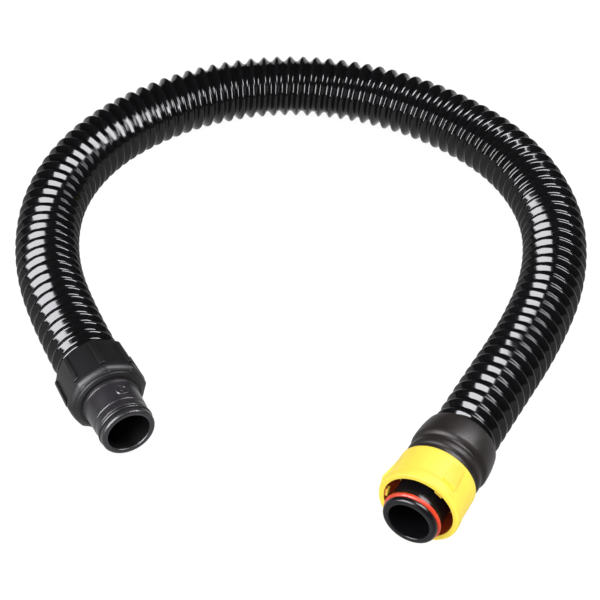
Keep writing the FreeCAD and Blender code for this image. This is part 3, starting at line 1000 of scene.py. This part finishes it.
@dataclass
class HoodEnd(Fitting):
    """The ribbed grip collar, and the swivel spigot with its boss and its seal."""

    rib_count: int = 8
    rib_half_angle: float = 4.6
    rib_height: float = 1.3
    rib_rounding: float = 0.35
    ribbed: Zone = Zone(-9.5, 9.5, inner=22.0)
    flatness: float = 0.55
    flat_radius: float = 22.0
    flat_end: float = 17.0
    collar_outline: tuple[Corner, ...] = (
        (-12.0, 20.6, 0.0), (-12.0, 22.7, 0.8), (-9.5, 22.82, 0.0), (9.5, 23.5, 0.0),
        (10.2, 24.4, 0.3), (13.4, 24.4, 1.5), (15.5, 22.4, 1.0), (16.3, 21.0, 0.15),
        (16.9, 20.9, 0.15), (17.9, 19.2, 0.2), (17.9, 17.4, 0.0), (8.4, 17.4, 0.0),
        (8.4, 21.5, 0.0), (-10.2, 21.5, 0.0), (-10.2, 20.6, 0.0),
    )
    spigot_outline: tuple[Corner, ...] = (
        (2.3, 14.0, 0.0), (2.3, 21.2, 0.3), (3.5, 21.2, 0.0), (3.5, 18.9, 0.0),
        (6.1, 18.9, 0.0), (6.1, 21.2, 0.0), (7.3, 21.2, 0.3), (7.3, 17.3, 0.0),
        (19.9, 17.3, 0.45), (19.9, 16.8, 0.1), (33.7, 16.5, 0.15), (34.0, 16.25, 0.1),
        (36.0, 16.2, 0.1), (36.3, 16.3, 0.1), (39.2, 16.3, 0.5), (39.2, 14.4, 0.0),
        (41.8, 14.4, 0.0), (41.8, 16.3, 0.7), (45.9, 16.3, 1.7), (45.9, 12.8, 1.2),
        (33.9, 12.8, 0.0), (32.7, 14.0, 0.0),
    )
    # The bore, which gets a painted shade.
    bore_painted_shade: Zone = Zone(6.0, 45.0, outer=14.2)
    boss_outline: tuple[Corner, ...] = (
        (15.4, 0.001, 0.0), (16.9, 0.001, 0.0), (16.9, 1.1, 0.15), (16.1, 1.3, 0.1),
        (16.1, 2.5, 0.1), (17.2, 2.7, 0.25), (17.2, 3.8, 0.3), (15.4, 4.3, 0.0),
    )
    boss_station: float = 27.0
    boss_lean: float = -14.0
    seal_station: float = 40.5
    seal_radius: float = 15.65
    seal_section: float = 1.15

    def collar(self) -> None:
        """The grip collar: eight flats with a rib on each corner, a bead and a stepped face."""
        mesh = turned(self.collar_outline, steps=160)
        self._flatten(mesh)
        for number in range(self.rib_count):
            rib = self.ribbed.patch(number * 360.0 / self.rib_count, self.rib_half_angle)
            raised(mesh, rib, lambda point: self.rib_height, self.rib_rounding)
        self.put("grip_collar", mesh, Slot.COLLAR, Body.HOSE, "hood_collar")

    def _flatten(self, mesh: bmesh.types.BMesh) -> None:
        """Pulls the outside in between the ribs, so that it reads as flats.

        Args:
            mesh: The turned collar.
        """
        step = 360.0 / self.rib_count
        for vertex in mesh.verts:
            if off_axis(vertex.co) < self.flat_radius or vertex.co.x > self.flat_end:
                continue
            from_rib = (around(vertex.co) + step / 2.0) % step - step / 2.0
            flat = math.cos(math.radians(step / 2.0)) / math.cos(math.radians(step / 2.0 - abs(from_rib)))
            share = 1.0 - (1.0 - flat) * self.flatness
            vertex.co.y *= share
            vertex.co.z *= share

    def spigot(self) -> None:
        """The swivel spigot: flange, neck, tapered body, bead, seal groove and nose."""
        mesh = turned(self.spigot_outline, steps=128)
        # The bore is marked for a darker painted shade.
        self.bore_painted_shade.mark_painted_shade(mesh)
        self.put("spigot_body", mesh, Slot.SPIGOT, Body.SPIGOT, "hood_spigot")

    def boss(self) -> None:
        """A small plain raised ring with a dimpled middle on top of the spigot."""
        mesh = turned(self.boss_outline, steps=48)
        for degrees, axis in ((-90.0, "Y"), (self.boss_lean, "X")):
            turn = Matrix.Rotation(math.radians(degrees), 3, axis)
            bmesh.ops.rotate(mesh, verts=mesh.verts, matrix=turn)
        bmesh.ops.translate(mesh, verts=mesh.verts, vec=(self.boss_station, 0.0, 0.0))
        self.put("spigot_boss", mesh, Slot.SPIGOT, Body.SPIGOT)

    def seal(self) -> None:
        """The sealing ring behind the spigot's nose."""
        mesh = o_ring(self.seal_station, self.seal_radius, self.seal_section)
        self.put("spigot_seal", mesh, Slot.BLACK_SEAL, Body.SPIGOT, "nose_seal")

    def build(self) -> None:
        """Makes every piece of the hood end."""
        self.collar()
        self.spigot()
        self.boss()
        self.seal()


@dataclass
class BlowerEnd(Fitting):
    """The soft cuff, the connector with its red seal, and the yellow coupling ring."""

    cuff_outline: tuple[Corner, ...] = (
        (-18.0, 20.15, 0.3), (-18.0, 22.2, 1.4), (-9.5, 23.85, 5.0), (-1.2, 23.9, 1.4),
        (1.0, 21.9, 0.6), (2.7, 21.9, 0.6), (4.0, 22.9, 0.8), (7.2, 22.9, 1.0),
        (8.8, 21.6, 0.8), (11.4, 21.6, 0.5), (11.4, 18.7, 0.0), (3.2, 18.7, 0.0),
        (3.2, 20.4, 0.0), (-0.2, 20.4, 0.0), (-0.2, 21.8, 0.0), (-15.0, 21.8, 0.0),
        (-15.0, 20.15, 0.0),
    )
    connector_outline: tuple[Corner, ...] = (
        (-16.0, 13.3, 0.0), (-16.0, 15.1, 0.3), (-12.0, 15.7, 0.0), (-12.0, 15.1, 0.0),
        (-8.0, 15.7, 0.0), (-8.0, 15.1, 0.0), (-4.0, 15.7, 0.0), (-4.0, 15.1, 0.0),
        (0.0, 15.1, 0.0), (0.0, 20.3, 0.3), (3.0, 20.3, 0.3), (3.0, 18.6, 0.0),
        (11.6, 18.6, 0.0), (11.6, 20.4, 0.3), (13.8, 20.4, 0.3), (13.8, 17.5, 0.0),
        (18.75, 17.5, 0.0), (18.75, 16.3, 0.0), (19.95, 16.3, 0.0), (19.95, 17.5, 0.0),
        (21.0, 17.5, 0.3), (22.5, 16.0, 0.5), (43.9, 16.0, 0.3), (43.9, 14.5, 0.0),
        (46.8, 14.5, 0.0), (46.8, 16.4, 0.6), (50.0, 16.4, 1.7), (50.0, 12.4, 0.8),
        (36.0, 12.4, 0.0), (34.5, 13.3, 0.0),
    )
    seal_station: float = 45.35
    seal_radius: float = 15.95
    seal_section: float = 1.4
    ring_outline: tuple[Corner, ...] = (
        (12.5, 21.4, 0.3), (14.9, 21.4, 0.0), (14.9, 17.6, 0.0), (18.7, 17.6, 0.0),
        (18.7, 21.1, 0.8), (34.4, 21.1, 0.0), (37.5, 21.1, 0.0), (38.1, 21.1, 0.4),
        (38.1, 24.55, 1.2), (32.8, 24.55, 1.0), (30.2, 23.9, 1.0), (16.0, 23.75, 0.0),
        (12.5, 23.7, 0.9),
    )
    # The inner wall between the lugs, which gets a painted shade.
    ring_painted_shade: Zone = Zone(14.0, 37.8, inner=20.9, outer=21.2)
    places: tuple[float, ...] = (55.0, 175.0, -65.0)
    ramped: Zone = Zone(16.0, 31.1, inner=23.0)
    ramp_half_angle: float = 9.2
    ramp_height: float = 1.9
    ramp_slope: float = 1.3
    ramp_least: float = 0.02
    lugged: Zone = Zone(34.4, 37.5, outer=21.3)
    lug_half_angle: float = 7.5
    lug_height: float = 1.9

    def cuff(self) -> None:
        """The soft cuff: rounded towards the hose, a crown, a fold and a narrower band."""
        mesh = turned(self.cuff_outline, steps=128)
        self.put("soft_cuff", mesh, Slot.CUFF, Body.HOSE, "blower_cuff")

    def connector(self) -> None:
        """The connector: barbed tail, two flanges, journal, seal groove and lipped nozzle."""
        mesh = turned(self.connector_outline, steps=128)
        self.put("connector_body", mesh, Slot.CONNECTOR, Body.HOSE, "blower_connector")

    def seal(self) -> None:
        """The orange-red sealing ring behind the nozzle's lip."""
        mesh = o_ring(self.seal_station, self.seal_radius, self.seal_section)
        self.put("nozzle_seal", mesh, Slot.RED_SEAL, Body.HOSE, "blower_seal")

    def ring(self) -> None:
        """The captive coupling ring, with its ramps outside and its lugs inside."""
        mesh = turned(self.ring_outline, steps=144)
        for middle in self.places:
            raised(mesh, self.ramped.patch(middle, self.ramp_half_angle), self._ramp_rise)
            raised(mesh, self.lugged.patch(middle, self.lug_half_angle), lambda point: -self.lug_height)
        # The inner wall is marked for a deep orange-red painted shade.
        self.ring_painted_shade.mark_painted_shade(mesh)
        self.put("coupling_grip", mesh, Slot.COUPLING, Body.COUPLING, "coupling_ring")

    def _ramp_rise(self, point: Vector) -> float:
        """A ramp's height, which grows from next to nothing towards the band."""
        share = (point.x - self.ramped.start) / (self.ramped.end - self.ramped.start)
        return self.ramp_height * max(self.ramp_least, min(1.0, share * self.ramp_slope))

    def build(self) -> None:
        """Makes every piece of the blower end."""
        self.cuff()
        self.connector()
        self.seal()
        self.ring()


# ------------------------------------------------------------------------------- studio


@dataclass(frozen=True)
class Softbox:
    """A rectangular studio light that hangs on a sphere around the object and faces it.

    The bearing is in degrees from the back towards the right, and the rise is in degrees
    above the floor. Sizes are in metres. The sheen is the radiance that a mirror would
    show, and the fill is the radiance that lights matt surfaces.
    """

    name: str
    bearing: float
    rise: float
    distance: float
    width: float
    height: float
    sheen: float
    fill: float
    tint: Colour = (0.97, 0.96, 1.0)
    aim: tuple[float, float, float] = (0.02, 0.13, 0.02)

    def build(self) -> None:
        """Hangs the light once for its sheen and once for its fill, where it has them."""
        for part, radiance in (("sheen", self.sheen), ("fill", self.fill)):
            if radiance > 0.0:
                self._hang(part, radiance)

    def _hang(self, part: str, radiance: float) -> None:
        """Hangs the part of the light that only glossy or only matt surfaces see.

        Args:
            part: Which part: sheen or fill.
            radiance: How bright it is.
        """
        light = bpy.data.lights.new(f"{self.name}_{part}", "AREA")
        light.shape = "RECTANGLE"
        light.size = self.width
        light.size_y = self.height
        light.energy = radiance * math.pi * self.width * self.height
        light.color = self.tint
        bearing, rise = math.radians(self.bearing), math.radians(self.rise)
        level = math.cos(rise)
        away = Vector((math.sin(bearing) * level, math.cos(bearing) * level, math.sin(rise)))
        holder = bpy.data.objects.new(light.name, light)
        holder.location = Vector(self.aim) + away * self.distance
        holder.rotation_euler = away.to_track_quat("Z", "Y").to_euler()
        holder.visible_diffuse = part == "fill"
        holder.visible_glossy = part == "sheen"
        bpy.context.scene.collection.objects.link(holder)


@dataclass(frozen=True)
class Studio:
    """The pale floor, the softboxes, the surroundings and the camera."""

    floor_width: float = 8.0
    floor_glow: float = 0.95
    floor_shade: float = 0.1
    floor_roughness: float = 0.9
    surroundings: float = 0.03
    camera_place: tuple[float, float, float] = (0.0172, -0.8550, 0.9465)
    camera_tilt: float = 46.5
    camera_lens: float = 132.48
    camera_sensor: float = 36.0
    softboxes: tuple[Softbox, ...] = (
        Softbox(
            "right_softbox", bearing=91.0, rise=52.5, distance=0.7, width=0.25, height=0.48,
            sheen=48.0, fill=12.0,
        ),
        Softbox(
            "front_left_softbox", bearing=-136.0, rise=29.0, distance=0.7, width=0.46,
            height=0.58, sheen=42.0, fill=8.0,
        ),
        Softbox(
            "overhead_softbox", bearing=-170.0, rise=62.0, distance=1.6, width=1.6, height=1.6,
            sheen=0.0, fill=4.5,
        ),
    )

    def floor(self) -> None:
        """A large pale floor that glows a little, so that shadows on it stay faint."""
        mesh = bmesh.new()
        bmesh.ops.create_grid(mesh, x_segments=1, y_segments=1, size=self.floor_width / 2.0)
        piece = new_piece("floor", mesh)
        paper = {
            "Base Color": (self.floor_shade, self.floor_shade, self.floor_shade, 1.0),
            "Roughness": self.floor_roughness,
            "Specular IOR Level": 0.0,
            "Emission Color": WHITE,
            "Emission Strength": self.floor_glow,
        }
        piece.data.materials.append(NodeBook("floor_paper").finish(paper, {}))

    def surround(self) -> None:
        """A dim, even world around the scene."""
        world = bpy.data.worlds.new("studio")
        world.use_nodes = True
        background = world.node_tree.nodes["Background"]
        background.inputs["Color"].default_value = WHITE
        background.inputs["Strength"].default_value = self.surroundings
        bpy.context.scene.world = world

    def camera(self) -> None:
        """The camera, from above the open side of the loop."""
        data = bpy.data.cameras.new("camera")
        data.sensor_width = self.camera_sensor
        data.lens = self.camera_lens
        holder = bpy.data.objects.new("camera", data)
        holder.location = self.camera_place
        holder.rotation_euler = (math.radians(self.camera_tilt), 0.0, 0.0)
        bpy.context.scene.collection.objects.link(holder)
        bpy.context.scene.camera = holder

    def build(self) -> None:
        """Sets up the whole studio."""
        self.camera()
        self.surround()
        self.floor()
        for softbox in self.softboxes:
            softbox.build()
        bpy.context.scene.view_settings.view_transform = "Standard"


# --------------------------------------------------------------------------------- main

CARRIED_OVER: dict[str, Slot] = {
    "hose_sleeve": Slot.SLEEVE,
    "hood_slip_washer": Slot.WASHER,
    "swivel_seal": Slot.BLACK_SEAL,
    "hose_clamp": Slot.CLAMP,
    "coupling_slip_washer": Slot.WASHER,
    "coupling_retainer": Slot.RETAINER,
}


def main() -> None:
    """Builds every sub-assembly on the loaded frame and reports each piece."""
    logging.basicConfig(level=logging.INFO, format="%(name)s: %(message)s")
    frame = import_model()
    Studio().build()
    palette = Palette()
    hose = Hose()
    hose.build(palette)
    route = hose.points()
    HoodEnd(route[0], route[0] - route[1], palette).build()
    BlowerEnd(route[-1], route[-1] - route[-2], palette).build()
    for name, slot in CARRIED_OVER.items():
        palette.dress_node(frame["nodes"][name], slot)
        LOG.info("%s keeps its solid, in %s", name, slot.value)


if __name__ == "__main__":
    main()
